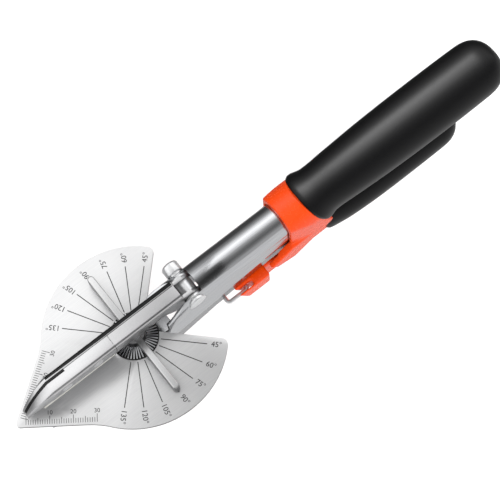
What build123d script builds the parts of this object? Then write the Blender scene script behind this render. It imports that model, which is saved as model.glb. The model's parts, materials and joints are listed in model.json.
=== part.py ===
from build123d import *
import os
from math import atan, cos, degrees, radians, sin, sqrt

# A hand-held multi-angle mitre shear, closed. One lever carries the blade and the lower
# handle, and crosses the frame arm, which carries the protractor plate and the upper handle.
# +X runs to the handles, +Y to the pivot bolt's head, +Z up. The origin is on the flat
# underside of the lower jaw, straight below the protractor's centre. Millimetres.

# protractor plate
plate_top = 22.0
plate_thickness = 1.6
plate_radius = 40.0
plate_tip_x = -63.3
plate_tip_radius = 1.6
tip_edge_angle = 36.0
tip_edge_length = 30.0
fan_end_angle = 143.0
notch_offset = 4.5
notch_radius = 3.0
plate_corner_radius = 2.8
plate_screw_radius = 1.1
plate_screw_length = 10.0
plate_screw_head_radius = 2.1
plate_screw_head_height = 1.2
plate_screw_x = (-42.0, -14.0)
plate_screw_y = 3.6

# frame arm, bent from sheet
sheet = 1.6
arm_width = 16.0
crown_height = 9.3
arm_rear_x = 105.0
tube_front_x = 33.0
arm_slot_width = 11.5
cheek_front_x = notch_offset + arm_width / 2 + 0.7
jaw_front_x = -50.5
jaw_base_front_x = -42.0
jaw_base_rear_x = 5.0
jaw_front_lip = 13.0
web_rear_x = 18.0
web_rear_height = 3.4
rear_edge_height = 3.0

# main pivot
pivot_x = 29.0
pivot_height = 10.4
pivot_radius = 3.0
bolt_head_radius = 3.9
bolt_head_length = 5.0
bolt_head_round = 1.2
pivot_nut_radius = 4.3
pivot_nut_floor = 0.6
bushing_radius = 3.8
spacer_radius = 4.2
running_clearance = 0.05

# return spring, between the tang and the tube's crown
spring_x = 46.0
spring_radius = 3.3
spring_wire_radius = 0.55
spring_turns = 3.5
spring_seat_height = 6.0
spring_cup_height = 12.6
spring_cup_radius = 4.2
spring_spigot_radius = 2.4
spring_spigot_length = 1.6

# blade lever, jaw and blade
jaw_width = 8.8
jaw_top_height = 20.8
jaw_bend_radius = 1.4
jaw_wall_height = 13.0
jaw_rear_x = 24.0
nose_start_x = -42.0
nose_tip_x = -56.5
nose_tip_width = 3.2
nose_tip_height = 8.0
seam_y = jaw_width / 2 - 2.4
seam_gap = 0.2
cover_rear_x = -10.5
nose_slot_start_x = -33.0
nose_slot_width = 1.0
blade_thickness = 1.0
blade_heel_x = -11.6
blade_bevel = 3.0
clamp_screw_radius = 1.3
clamp_screw_x = (-36.0, -20.0)
clamp_head_radius = 2.3
clamp_head_depth = 1.0
clamp_screw_height = 16.7
clamp_strip_height = 14.2
clamp_strip_rear_x = -14.0
blade_edge_width = 0.1

# jaw block and anvil
block_front_x = -48.5
block_rear_x = -6.0
anvil_width = 2.8
anvil_depth = 4.0
anvil_rear_x = -11.2
block_pin_radius = 1.5
block_pin_x = (-38.0, -14.0)
block_pin_depth = 12.0
# swinging fence and its click ring
fence_length = 62.0
fence_width = 3.0
fence_height = 7.4
fence_lift = 0.1
fence_edge_round = 0.6
fence_screw_radius = 2.0
fence_screw_head_radius = 3.3
fence_screw_head_height = 2.0
fence_screw_slot_width = 1.0
fence_screw_slot_depth = 0.8
fence_screw_depth = 10.0
hub_step = 1.4
fence_washer_radius = 4.4
fence_washer_thickness = 1.0
spring_washer_radius = 3.6
spring_washer_thickness = 1.2
fence_nut_half_width = 3.5
fence_nut_height = 3.2
hub_radius = 4.8
ring_outer_radius = 10.6
ring_inner_radius = 5.1
ring_rim_height = 0.5
ring_rim_slope_width = 1.0
ring_rim_slope_height = 0.4
ring_crown_height = 1.7
ring_groove_count = 24
ring_groove_depth = 0.3
ring_groove_width = 0.5
ball_radius = 0.75
ball_track_radius = 8.0
ball_gap = 0.03
detent_bore_height = 6.2
detent_spring_low = 2.95
detent_spring_high = 6.1
detent_spring_radius = 0.5
detent_spring_wire_radius = 0.22
detent_spring_turns = 4.5

# handles
collar_front_x = 77.5
grip_rake = 0.5
grip_front_x = 89.0
upper_grip_end_x = 199.5
upper_grip_height = 8.0
upper_grip_half_width = arm_width / 2 + 5.2
upper_grip_half_height = arm_width / 2 + 3.8
core_sleeve_radius = arm_width / 2 + 2.6
core_sleeve_overlap = 3.0
core_sleeve_past_arm = 5.0
upper_rod_half_width = 8.0
upper_rod_half_height = 7.4
upper_rod_end_gap = 12.0
upper_pin_height = 9.0
upper_pin_x = (arm_rear_x - 9.5, arm_rear_x - 3.5)
handle_pin_radius = 2.0
lower_pin_x = (72.0, 90.0)
neck_half_width = 7.8
lower_handle_depth = 20.0
lower_block_front_x = 47.6
lower_block_top_depth = 11.5
lower_block_rear_x = 64.0
lower_rod_half_width = 7.2
lower_rod_half_height = 6.0
lower_rod_end_gap = 11.0
lower_grip_front_x = 99.0
lower_grip_end_x = 176.0
lower_grip_half_width = 12.3
skirt_half_width = arm_width / 2 + 4.0
skirt_gap_half_width = arm_width / 2 + 0.7

# wire latch on the lower handle
latch_wire_radius = 0.9
latch_pivot_x = 53.0
latch_pivot_depth = 16.0
latch_reach = 10.5
latch_leg_y = arm_width / 2 + 1.9
lower_block_half_width = latch_leg_y + 2.1
latch_pin_length = 3.5
latch_bend_radius = 1.3
latch_slot_gap = 0.3

zp = plate_top
arm_half = arm_width / 2
bore_half = arm_half - sheet
pivot_z = zp + pivot_height
jaw_half = jaw_width / 2
jaw_inner_half = jaw_half - sheet
jaw_ceiling = zp + jaw_top_height - sheet
tang_top = (36.0, zp + 9.8)
tang_foot = (62.0, zp - lower_handle_depth + 4.0)
spring_low = zp + spring_seat_height
spring_high = zp + spring_cup_height
ring_slope = ((ring_crown_height - ring_rim_height - ring_rim_slope_height)
              / (ring_outer_radius - ring_rim_slope_width - ring_inner_radius))


def side_prism(points, half_width):
    """A solid with this outline in the XZ plane, as thick each way from y = 0."""
    outline = make_face(Polyline(*points, close=True))
    return extrude(Plane.XZ * outline, amount=half_width, both=True)


def plan_prism(points, low, high):
    """A solid with this outline in plan, between two heights."""
    outline = make_face(Polyline(*points, close=True))
    return extrude(Plane.XY.offset(low) * outline, amount=high - low)


def across(x):
    """The plane that cuts the tool square across at x, with its local axes along Y and Z."""
    return Plane(origin=(x, 0, 0), x_dir=(0, 1, 0), z_dir=(1, 0, 0))


def cross_pin(radius, x, z, start_y, end_y):
    """A round bar along Y."""
    middle = (start_y + end_y) / 2
    return Pos(x, middle, z) * Rot(90, 0, 0) * Cylinder(radius, end_y - start_y)


def upright(radius, x, y, low, high):
    """A round bar along Z."""
    return Pos(x, y, (low + high) / 2) * Cylinder(radius, high - low)


def block(low, high):
    """A box between two corners."""
    size = [b - a for a, b in zip(low, high)]
    centre = [(a + b) / 2 for a, b in zip(low, high)]
    return Pos(*centre) * Box(*size)


def arch(half_width, low, start_x, end_x):
    """Straight sides under a half-round crown, as the arm's sheet is bent."""
    crown_z = zp + crown_height
    sides = Pos(0, (low + crown_z) / 2) * Rectangle(2 * half_width, crown_z - low)
    face = sides + Pos(0, crown_z) * Circle(half_width)
    return extrude(across(start_x) * face, amount=end_x - start_x)


def lofted(sections):
    """A smooth skin through ellipses: x, half width, half height and centre height."""
    faces = [across(x) * Pos(0, z) * Ellipse(w, h) for x, w, h, z in sections]
    return loft(faces)


def coil(x, y, low, high, radius, wire_radius, turns):
    """A helical spring along Z whose wire stays between two heights."""
    rise = high - low - 2 * wire_radius
    path = Pos(x, y, low + wire_radius) * Helix(rise / turns, rise, radius)
    wire = Plane(origin=path @ 0, z_dir=path % 0) * Circle(wire_radius)
    return sweep(wire, path=path, is_frenet=True)


def write(name, *solids):
    """One file for each named piece; identical fasteners share a file."""
    shape = solids[0] if len(solids) == 1 else Compound(children=list(solids))
    export_step(shape, f"parts/{name}.step")


# ---- frame: the arm, and what is fixed in it ----

def frame_arm_solid():
    """Open-topped channel under the plate, cheeks at the pivot, open-bottomed tube behind."""
    outline = [
        (arm_rear_x, zp + rear_edge_height), (92, zp + rear_edge_height), (88, zp - 5.0),
        (67, zp - 6.5), (42, zp - 11.0), (41.5, zp - 12.6), (38, zp - 12.6),
        (web_rear_x, web_rear_height), (jaw_base_rear_x, 0), (jaw_base_front_x, 0), (jaw_front_x, jaw_front_lip),
        (jaw_front_x, zp - plate_thickness), (cheek_front_x, zp - plate_thickness),
        (cheek_front_x, zp + 8.3), (jaw_rear_x, zp + 15.2), (tube_front_x, zp + 40),
        (arm_rear_x, zp + 40),
    ]
    cavity = [
        (arm_rear_x + 1, -20), (web_rear_x, -20), (web_rear_x, web_rear_height + sheet),
        (jaw_base_rear_x, sheet),
        (jaw_base_front_x + 0.9, sheet), (jaw_front_x - 1.6, jaw_front_lip + 5.4),
        (jaw_front_x - 1.6, zp + 30), (arm_rear_x + 1, zp + 30),
    ]
    body = side_prism(outline, arm_half) & arch(arm_half, -1, jaw_front_x - 1, arm_rear_x)
    hollow = side_prism(cavity, bore_half) & arch(bore_half, -30, jaw_front_x - 3, arm_rear_x + 1)
    slot = block((-70, -arm_slot_width / 2, zp - 1), (tube_front_x, arm_slot_width / 2, zp + 30))
    body = body - hollow - slot
    body -= cross_pin(pivot_radius, pivot_x, pivot_z, 0, arm_half)
    body -= cross_pin(pivot_nut_radius, pivot_x, pivot_z, -arm_half, 0)
    body -= cross_pin(spacer_radius + 0.2, pivot_x, pivot_z, -bore_half, bore_half)
    for pin in jaw_block_pin_solids() + upper_handle_pin_solids():
        body -= pin
    return body


def plate_half():
    """The protractor's outline on one side of the blade's line."""
    edge_way = (cos(radians(tip_edge_angle)), sin(radians(tip_edge_angle)))
    tip = (plate_tip_x, 0)
    edge_end = (tip[0] + tip_edge_length * edge_way[0], tip_edge_length * edge_way[1])
    fan_end = (plate_radius * cos(radians(fan_end_angle)),
               plate_radius * sin(radians(fan_end_angle)))
    corner_y = (sqrt(2 * plate_radius**2 - notch_offset**2) - notch_offset) / 2
    corner = (corner_y + notch_offset, corner_y)
    lines = [
        Line(tip, edge_end),
        TangentArc(edge_end, fan_end, tangent=edge_way),
        ThreePointArc(fan_end, (0, plate_radius), corner),
        Line(corner, (notch_offset, 0)),
        Line((notch_offset, 0), tip),
    ]
    face = make_face(lines)
    outer = face.vertices().sort_by(Axis.X)[-1]
    return fillet(outer, plate_corner_radius)


def protractor_plate_solid():
    """Flat stainless plate with a fan to each side, a pointed front and a notched rear."""
    half = plate_half()
    outline = half + mirror(half, about=Plane.XZ)
    tip = outline.vertices().sort_by(Axis.X)[0]
    outline = fillet(tip, plate_tip_radius)
    notch = outline.vertices().sort_by_distance((notch_offset, 0, 0))[0]
    outline = fillet(notch, notch_radius)
    plate = extrude(Plane.XY.offset(zp - plate_thickness) * outline, amount=plate_thickness)
    plate -= anvil_strip_solid()
    plate -= upright(fence_screw_radius + running_clearance, 0, 0, 0, zp + 1)
    for screw in plate_screw_solids():
        plate -= screw
    return plate


def jaw_block_solid():
    """Cast block that fills the lower jaw's channel and carries the anvil."""
    outline = [
        (jaw_base_front_x + 1.4, sheet), (block_rear_x, sheet),
        (block_rear_x, zp - plate_thickness), (block_front_x, zp - plate_thickness),
        (block_front_x, jaw_front_lip + 0.2),
    ]
    body = side_prism(outline, bore_half) - anvil_strip_solid()
    for piece in plate_screw_solids() + jaw_block_pin_solids():
        body -= piece
    return body


def anvil_strip_solid():
    """Nylon strip flush with the plate, where the blade lands."""
    half = anvil_width / 2
    return block((block_front_x, -half, zp - anvil_depth), (anvil_rear_x, half, zp))


def plate_screw_solids():
    """Two flush screws that hold the plate down on the jaw block."""
    screws = []
    for x, y in zip(plate_screw_x, (-plate_screw_y, plate_screw_y)):
        shank = upright(plate_screw_radius, x, y, zp - plate_screw_length, zp)
        cone = Cone(plate_screw_radius, plate_screw_head_radius, plate_screw_head_height)
        head = Pos(x, y, zp - plate_screw_head_height / 2) * cone
        screws.append(shank + head)
    return screws


def jaw_block_pin_solids():
    """Two flush pins across the lower jaw that hold its block."""
    z = zp - block_pin_depth
    return [cross_pin(block_pin_radius, x, z, -arm_half, arm_half) for x in block_pin_x]


def index_ring_solid():
    """Low cone round the fence's hub, grooved every 15 degrees."""
    edge = ring_outer_radius - ring_rim_slope_width
    run = edge - ring_inner_radius
    profile = Polyline(
        (ring_inner_radius, 0), (ring_outer_radius, 0), (ring_outer_radius, ring_rim_height),
        (edge, ring_rim_height + ring_rim_slope_height), (ring_inner_radius, ring_crown_height),
        close=True)
    ring = revolve(Plane.XZ * make_face(profile), axis=Axis.Z)
    middle = ring_inner_radius + run / 2
    cutter_height = 1.0
    height = ring_crown_height - ring_slope * run / 2 - ring_groove_depth + cutter_height / 2
    cutter = Box(2 * run, ring_groove_width, cutter_height)
    groove = Pos(middle, 0, height) * Rot(0, degrees(atan(ring_slope)), 0) * cutter
    for step in range(ring_groove_count):
        ring -= Rot(0, 0, step * 360 / ring_groove_count) * groove
    return Pos(0, 0, zp) * ring


def pivot_bolt_solid():
    """Shoulder bolt with a domed head on the left cheek."""
    shank = cross_pin(pivot_radius, pivot_x, pivot_z, pivot_nut_floor - arm_half, arm_half)
    head = cross_pin(bolt_head_radius, pivot_x, pivot_z, arm_half, arm_half + bolt_head_length)
    rim = head.edges().filter_by(GeomType.CIRCLE).sort_by(Axis.Y)[-1]
    return shank + fillet(rim, bolt_head_round)


def pivot_nut_solid():
    """Round cap nut, flush with the right cheek."""
    nut = cross_pin(pivot_nut_radius, pivot_x, pivot_z, -arm_half, -bore_half)
    return nut - cross_pin(pivot_radius, pivot_x, pivot_z, pivot_nut_floor - arm_half, 0)


def pivot_spacer_solids():
    """A bright spacer on the bolt, between each cheek and the lever."""
    start = jaw_half + running_clearance
    ring = cross_pin(spacer_radius, pivot_x, pivot_z, start, bore_half)
    ring -= cross_pin(pivot_radius, pivot_x, pivot_z, 0, arm_half)
    return [ring, mirror(ring, about=Plane.XZ)]


def spring_cup_solid():
    """Seat under the tube's crown for the return spring."""
    column = upright(spring_cup_radius, spring_x, 0, spring_high, zp + 20)
    pad = column & arch(bore_half, 0, spring_x - 10, spring_x + 10)
    low = spring_high - spring_spigot_length
    return pad + upright(spring_spigot_radius, spring_x, 0, low, spring_high)


def upper_handle_pin_solids():
    """Two pins that hold the upper handle's core in the tube."""
    z = zp + upper_pin_height
    return [cross_pin(handle_pin_radius, x, z, -arm_half, arm_half) for x in upper_pin_x]


def behind_grip_front():
    """Everything behind the raked plane where the upper grip starts."""
    top_x = grip_front_x - grip_rake * 40
    low_x = grip_front_x + grip_rake * 60
    return side_prism([(top_x, zp + 58), (300, zp + 58), (300, zp - 42), (low_x, zp - 42)], 30)


def upper_handle_core_solid():
    """Orange collar round the tube, with side skirts, and the core that the grip covers."""
    side = [
        (collar_front_x, zp + 30), (collar_front_x, zp - 1.5), (65.5, zp - 8.0),
        (68.5, zp - 13.0), (78.5, zp - 16.0), (90, zp - 9.5), (102, zp - 3.0),
        (110, zp + 30),
    ]
    front_half = arm_half + 1.8
    plan = [
        (60, 0.6 - skirt_half_width), (74, 0.6 - skirt_half_width), (collar_front_x, -front_half),
        (84, 1.0 - skirt_half_width), (92, -skirt_half_width), (115, -skirt_half_width),
    ]
    plan = plan + [(x, -y) for x, y in reversed(plan)]
    collar = side_prism(side, skirt_half_width) & arch(skirt_half_width - 0.4, -30, 60, 115)
    lower = [(60, zp - 1.5), (60, zp - 30), (115, zp - 30), (115, zp - 1.5)]
    upper_part = (collar - side_prism(lower, 30)) & plan_prism(plan, 0, zp + 40)
    lower_part = collar & side_prism(lower, 30)
    collar = (upper_part + lower_part) - behind_grip_front()
    passage = block((50, -skirt_gap_half_width, -30), (120, skirt_gap_half_width, zp - 5.0))
    centre_z = zp + upper_grip_height
    start = grip_front_x - core_sleeve_overlap
    sleeve_length = arm_rear_x + core_sleeve_past_arm - grip_front_x
    sleeve = extrude(across(start) * Pos(0, centre_z) * Circle(core_sleeve_radius), amount=sleeve_length)
    rod_end = Pos(0, centre_z) * Ellipse(upper_rod_half_width, upper_rod_half_height)
    rod = extrude(across(start) * rod_end, amount=upper_grip_end_x - upper_rod_end_gap - grip_front_x)
    open_front = arch(bore_half, -30, 50, collar_front_x + 6.5)
    core = (collar - passage) + sleeve + rod - frame_arm_solid() - open_front
    for pin in upper_handle_pin_solids():
        core -= pin
    return core


def upper_grip_solid():
    """Soft black sleeve over the upper core, with a rounded end."""
    z = zp + upper_grip_height
    w = upper_grip_half_width
    h = upper_grip_half_height
    end = upper_grip_end_x
    skin = lofted([
        (84, w, h - 0.2, z), (97, w - 0.6, h - 0.5, z), (118, w, h, z), (150, w - 0.1, h, z),
        (end - 14, w - 1.2, h - 1.0, z + 0.3), (end - 4, w - 3.2, h - 2.8, z + 0.8),
        (end, 6.0, 5.0, z + 1.2),
    ])
    grip = (skin & behind_grip_front()) - upper_handle_core_solid() - frame_arm_solid()
    for pin in upper_handle_pin_solids():
        grip -= pin
    return grip


# ---- blade lever: the upper jaw, the blade and the lower handle ----

def lever_side():
    """Side view of the upper jaw, the pivot eye and the tang that runs to the lower handle."""
    top = zp + jaw_top_height
    depth = zp - lower_handle_depth
    nose_top = (nose_tip_x, zp + nose_tip_height)
    lower = Polyline(
        nose_top, (nose_tip_x, zp + 5.0), (nose_start_x, zp + 13.6), (14, zp + jaw_wall_height),
        (22, zp + 5.4), (29, zp + 4.4), (44.6, zp - 9.8), (51, depth), (66, depth - 4), (110, depth - 4),
        (110, depth + 4), tang_foot, tang_top, (33, zp + 13.0), (29.5, zp + 16.3),
        (jaw_rear_x + 1, zp + 16.5), (jaw_rear_x, zp + 17.5), (jaw_rear_x, top),
        (nose_start_x, top))
    brow = ThreePointArc((nose_start_x, top), (nose_start_x - 8.4, zp + 15.8), nose_top)
    return make_face([lower, brow])


def lever_cavity():
    """Side view of the hollow under the jaw's top and nose, and between the tang's cheeks."""
    return [
        (120, -30), (120, jaw_ceiling), (nose_start_x + 0.6, jaw_ceiling),
        (nose_tip_x + 1.1, zp + nose_tip_height - 1.2), (nose_tip_x - 2, zp + 4), (nose_tip_x - 2, -30),
    ]


def taper(half_width, tip_half, extra=0.0):
    """Plan outline of the jaw: parallel, then narrowing to the nose."""
    tip_x = nose_tip_x - extra
    side = [(120, half_width), (nose_start_x, half_width), (tip_x, tip_half)]
    return side + [(x, -y) for x, y in reversed(side)]


def is_jaw_ridge(edge):
    """Whether an edge runs along the jaw's top or down its nose, beside a wall."""
    middle = edge @ 0.5
    ends = [edge @ 0, edge @ 1]
    beside_wall = min(abs(end.Y) for end in ends) > nose_tip_width / 2 - 0.1
    lengthwise = abs(ends[1].X - ends[0].X) > 5
    return beside_wall and lengthwise and middle.Z > zp + 15 and middle.X < jaw_rear_x


def lever_channel():
    """The whole folded channel before the cover is parted from it."""
    tip_half = nose_tip_width / 2
    body = extrude(Plane.XZ * lever_side(), amount=jaw_half, both=True)
    body = fillet([e for e in body.edges() if is_jaw_ridge(e)], jaw_bend_radius)
    body &= plan_prism(taper(jaw_half, tip_half), -30, 60)
    inside = plan_prism(taper(jaw_inner_half, tip_half - 1.0, 1.0), -30, 60)
    return body - (side_prism(lever_cavity(), 9) & inside)


def cover_region(gap):
    """Plan outline of the jaw's removable cover, grown towards the seam by a gap."""
    edge = seam_y + gap
    tip_edge = edge - 1.75
    return [
        (cover_rear_x + gap, -9), (cover_rear_x + gap, edge), (nose_start_x, edge),
        (nose_tip_x - 2, tip_edge), (nose_tip_x - 2, -9),
    ]


def nose_slot():
    """The slot beside the seam that opens towards the nose."""
    edge = seam_y + seam_gap / 2
    low = edge - nose_slot_width
    points = [
        (nose_slot_start_x, low), (nose_slot_start_x, edge), (nose_start_x, edge),
        (nose_tip_x - 2, edge - 1.75), (nose_tip_x - 2, low - 1.75), (nose_start_x, low),
    ]
    return plan_prism(points, zp - 5, zp + 40)


def blade_lever_solid():
    """Folded steel lever, without the cover that closes the jaw's right side."""
    lever = lever_channel() - plan_prism(cover_region(seam_gap / 2), zp + 3, 60)
    lever -= cross_pin(bushing_radius, pivot_x, pivot_z, -9, 9)
    for piece in clamp_screw_solids() + lower_handle_pin_solids():
        lever -= piece
    return lever


def jaw_cover_solid():
    """Folded cover that clamps the blade from the right."""
    cover = lever_channel() & plan_prism(cover_region(-seam_gap / 2), zp + 3, 60)
    cover -= nose_slot()
    for screw in clamp_screw_solids():
        cover -= screw
    return cover


def blade_solid():
    """Straight blade, ground to an edge along its lower side."""
    half = blade_thickness / 2
    low = zp + running_clearance
    section = Polyline(
        (-half, jaw_ceiling), (half, jaw_ceiling), (half, low + blade_bevel),
        (blade_edge_width / 2, low), (-blade_edge_width / 2, low), (-half, low + blade_bevel),
        close=True)
    bar = extrude(across(nose_tip_x + 2) * make_face(section), amount=blade_heel_x - nose_tip_x - 2)
    outline = [
        (blade_heel_x, zp - 1), (blade_heel_x, jaw_ceiling), (nose_start_x + 1, jaw_ceiling),
        (nose_tip_x + 2, zp + nose_tip_height - 1.1), (nose_tip_x + 2, zp - 1),
    ]
    blade = bar & side_prism(outline, 5)
    for screw in clamp_screw_solids():
        blade -= screw
    return blade


def blade_clamp_solids():
    """A packing strip on each side of the blade."""
    half = blade_thickness / 2
    strips = []
    for near, far in ((half, jaw_inner_half), (-jaw_inner_half, -half)):
        low = (nose_start_x + 1, near, zp + clamp_strip_height)
        strip = block(low, (clamp_strip_rear_x, far, jaw_ceiling))
        for screw in clamp_screw_solids():
            strip -= screw
        strips.append(strip)
    return strips


def clamp_screw_solids():
    """Two flush screws across the jaw that hold the cover and the blade."""
    screws = []
    for x in clamp_screw_x:
        z = zp + clamp_screw_height
        shank = cross_pin(clamp_screw_radius, x, z, -jaw_half, jaw_half)
        cone = Cone(clamp_screw_radius, clamp_head_radius, clamp_head_depth)
        head = Pos(x, -jaw_half + clamp_head_depth / 2, z) * Rot(90, 0, 0) * cone
        screws.append(shank + head)
    return screws


def pivot_bushing_solid():
    """Steel bush in the lever, which turns on the bolt."""
    bush = cross_pin(bushing_radius, pivot_x, pivot_z, -jaw_half, jaw_half)
    return bush - cross_pin(pivot_radius + running_clearance, pivot_x, pivot_z, -9, 9)


def spring_seat_solid():
    """Wedge on the tang's upper edge that carries the spring's lower end."""
    slope = (tang_top[1] - tang_foot[1]) / (tang_foot[0] - tang_top[0])
    front, rear = spring_x - 4.5, spring_x + 4.5
    ends = [(x, tang_top[1] - (x - tang_top[0]) * slope) for x in (rear, front)]
    wedge = side_prism([(front, spring_low), (rear, spring_low)] + ends, jaw_half)
    high = spring_low + spring_spigot_length
    return wedge + upright(spring_spigot_radius, spring_x, 0, spring_low, high)


def return_spring_solid():
    """Spring that pushes the handles apart, pressed short while the tool is closed."""
    return coil(spring_x, 0, spring_low, spring_high, spring_radius, spring_wire_radius,
                spring_turns)


def lower_handle_pin_solids():
    """Two pins that hold the lower core on the tang."""
    z = zp - lower_handle_depth
    return [cross_pin(handle_pin_radius, x, z, -neck_half_width, neck_half_width) for x in lower_pin_x]


def lower_handle_core_solid():
    """Orange front block with the latch's slots, its neck and the core in the grip."""
    z = zp - lower_handle_depth
    top = zp - lower_block_top_depth
    front = lower_block_front_x
    rear = lower_block_rear_x
    nose = side_prism([(front, top), (rear, top), (rear, z - 2), (front + 4.4, z - 2)],
                      lower_block_half_width)
    neck = block((rear - 4, -neck_half_width, z - 7), (lower_grip_front_x + 3, neck_half_width, z + 7.8))
    rod_end = Pos(0, z) * Ellipse(lower_rod_half_width, lower_rod_half_height)
    rod = extrude(across(lower_grip_front_x) * rod_end,
                  amount=lower_grip_end_x - lower_rod_end_gap - lower_grip_front_x)
    core = nose + (neck & lofted([(55, 10.4, 10.4, z), (110, 9.6, 8.8, z)])) + rod
    for side in (-1, 1):
        low_y = side * latch_leg_y - latch_wire_radius - latch_slot_gap
        high_y = side * latch_leg_y + latch_wire_radius + latch_slot_gap
        core -= block((front - 2, low_y, z - 4), (latch_pivot_x + 3, high_y, zp))
        hole = latch_wire_radius + running_clearance
        inner = side * (latch_leg_y - 4.0)
        start, end = sorted((inner, side * latch_leg_y))
        core -= cross_pin(hole, latch_pivot_x, zp - latch_pivot_depth, start, end)
    core -= blade_lever_solid()
    for pin in lower_handle_pin_solids():
        core -= pin
    return core


def lower_grip_solid():
    """Soft black sleeve over the lower core."""
    z = zp - lower_handle_depth
    w = lower_grip_half_width
    start = lower_grip_front_x
    end = lower_grip_end_x
    skin = lofted([
        (start, 9.8, 8.4, z), (start + 9, w - 0.9, 9.2, z), (start + 30, w, 9.4, z),
        (end - 26, w, 9.3, z), (end - 8, w - 1.8, 8.0, z), (end, 6.5, 4.6, z),
    ])
    return skin - lower_handle_core_solid() - blade_lever_solid()


# ---- wire latch ----

def latch_bail_solid():
    """One bent wire: two pins in the block, two legs and the bar across under the arm."""
    z = zp - latch_pivot_depth
    front = latch_pivot_x - latch_reach
    y = latch_leg_y
    inner = y - latch_pin_length
    points = [
        (latch_pivot_x, -inner, z), (latch_pivot_x, -y, z), (front, -y, z), (front, y, z),
        (latch_pivot_x, y, z), (latch_pivot_x, inner, z),
    ]
    path = FilletPolyline(*points, radius=latch_bend_radius)
    wire = Plane(origin=path @ 0, z_dir=path % 0) * Circle(latch_wire_radius)
    return sweep(wire, path=path)


# ---- swinging fence ----

def fence_bar_solid():
    """Fence across the plate, bridging the click ring, with the hub that it turns on."""
    plan = Plane.XY.offset(zp + fence_lift) * SlotOverall(fence_length, fence_width, rotation=90)
    bar = extrude(plan, amount=fence_height - fence_lift)
    top_edges = bar.faces().sort_by(Axis.Z)[-1].edges()
    bar = fillet(top_edges, fence_edge_round)
    bar -= upright(ring_outer_radius + 0.4, 0, 0, zp - 1, zp + ring_crown_height + 0.3)
    bar += upright(hub_radius, 0, 0, zp + running_clearance, zp + fence_height - hub_step)
    bar -= upright(fence_screw_radius, 0, 0, 0, zp + 20)
    for side in (-1, 1):
        y = side * ball_track_radius
        bar -= upright(ball_radius + 0.1, 0, y, zp, zp + detent_bore_height)
    return bar


def fence_screw_solid():
    """Screw that clamps the fence's hub and turns with it."""
    top = zp + fence_height
    head_top = top + fence_screw_head_height
    radius = fence_screw_head_radius
    shank = upright(fence_screw_radius, 0, 0, zp - fence_screw_depth, top)
    head = upright(radius, 0, 0, top, head_top)
    rim = head.edges().filter_by(GeomType.CIRCLE).sort_by(Axis.Z)[-1]
    slot_half = fence_screw_slot_width / 2
    slot = block((-radius - 1, -slot_half, head_top - fence_screw_slot_depth),
                 (radius + 1, slot_half, head_top + 1))
    head = fillet(rim, 0.8) - slot
    seat = upright(radius, 0, 0, top - hub_step, top) - upright(fence_screw_radius, 0, 0, 0, 60)
    return shank + head + (seat - fence_bar_solid())


def below_plate(radius, top_gap, thickness):
    """A ring on the fence screw, hung this far below the plate."""
    top = zp - plate_thickness - top_gap
    return upright(radius, 0, 0, top - thickness, top) - upright(fence_screw_radius, 0, 0, 0, 60)


def fence_nut_solid():
    """Hexagon nut below the plate."""
    top = zp - plate_thickness - running_clearance - fence_washer_thickness - spring_washer_thickness
    hexagon = RegularPolygon(fence_nut_half_width, 6, major_radius=False)
    nut = extrude(Plane.XY.offset(top - fence_nut_height) * hexagon, amount=fence_nut_height)
    return nut - upright(fence_screw_radius, 0, 0, 0, 60)


def detent_ball_solids():
    """Two balls that click over the ring's grooves."""
    crest = ring_crown_height - (ball_track_radius - ring_inner_radius) * ring_slope
    height = zp + crest + ball_radius * sqrt(1 + ring_slope**2) + ball_gap
    return [Pos(0, side * ball_track_radius, height) * Sphere(ball_radius) for side in (-1, 1)]


def detent_spring_solids():
    """A small spring over each ball, in the fence."""
    low, high = zp + detent_spring_low, zp + detent_spring_high
    return [coil(0, side * ball_track_radius, low, high, detent_spring_radius,
                 detent_spring_wire_radius, detent_spring_turns) for side in (-1, 1)]


os.makedirs("parts", exist_ok=True)

write("frame_arm", frame_arm_solid())
write("protractor_plate", protractor_plate_solid())
write("plate_screws", *plate_screw_solids())
write("jaw_block", jaw_block_solid())
write("jaw_block_pins", *jaw_block_pin_solids())
write("anvil_strip", anvil_strip_solid())
write("index_ring", index_ring_solid())
write("pivot_bolt", pivot_bolt_solid())
write("pivot_nut", pivot_nut_solid())
write("pivot_spacers", *pivot_spacer_solids())
write("spring_cup", spring_cup_solid())
write("upper_handle_core", upper_handle_core_solid())
write("upper_handle_pins", *upper_handle_pin_solids())
write("upper_grip", upper_grip_solid())

write("blade_lever", blade_lever_solid())
write("jaw_cover", jaw_cover_solid())
write("blade", blade_solid())
write("blade_clamps", *blade_clamp_solids())
write("clamp_screws", *clamp_screw_solids())
write("pivot_bushing", pivot_bushing_solid())
write("spring_seat", spring_seat_solid())
write("return_spring", return_spring_solid())
write("lower_handle_core", lower_handle_core_solid())
write("lower_handle_pins", *lower_handle_pin_solids())
write("lower_grip", lower_grip_solid())

write("latch_bail", latch_bail_solid())

write("fence_bar", fence_bar_solid())
write("fence_screw", fence_screw_solid())
write("fence_washer", below_plate(fence_washer_radius, running_clearance, fence_washer_thickness))
write("spring_washer", below_plate(
    spring_washer_radius, running_clearance + fence_washer_thickness, spring_washer_thickness))
write("fence_nut", fence_nut_solid())
write("detent_balls", *detent_ball_solids())
write("detent_springs", *detent_spring_solids())
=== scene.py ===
import json
import logging
from collections.abc import Sequence
from dataclasses import dataclass
from enum import Enum
from math import atan2, copysign, cos, pi, radians, sin, tau

import bmesh
import bpy
from mathutils import Matrix, Quaternion, Vector
from mathutils.bvhtree import BVHTree


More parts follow.
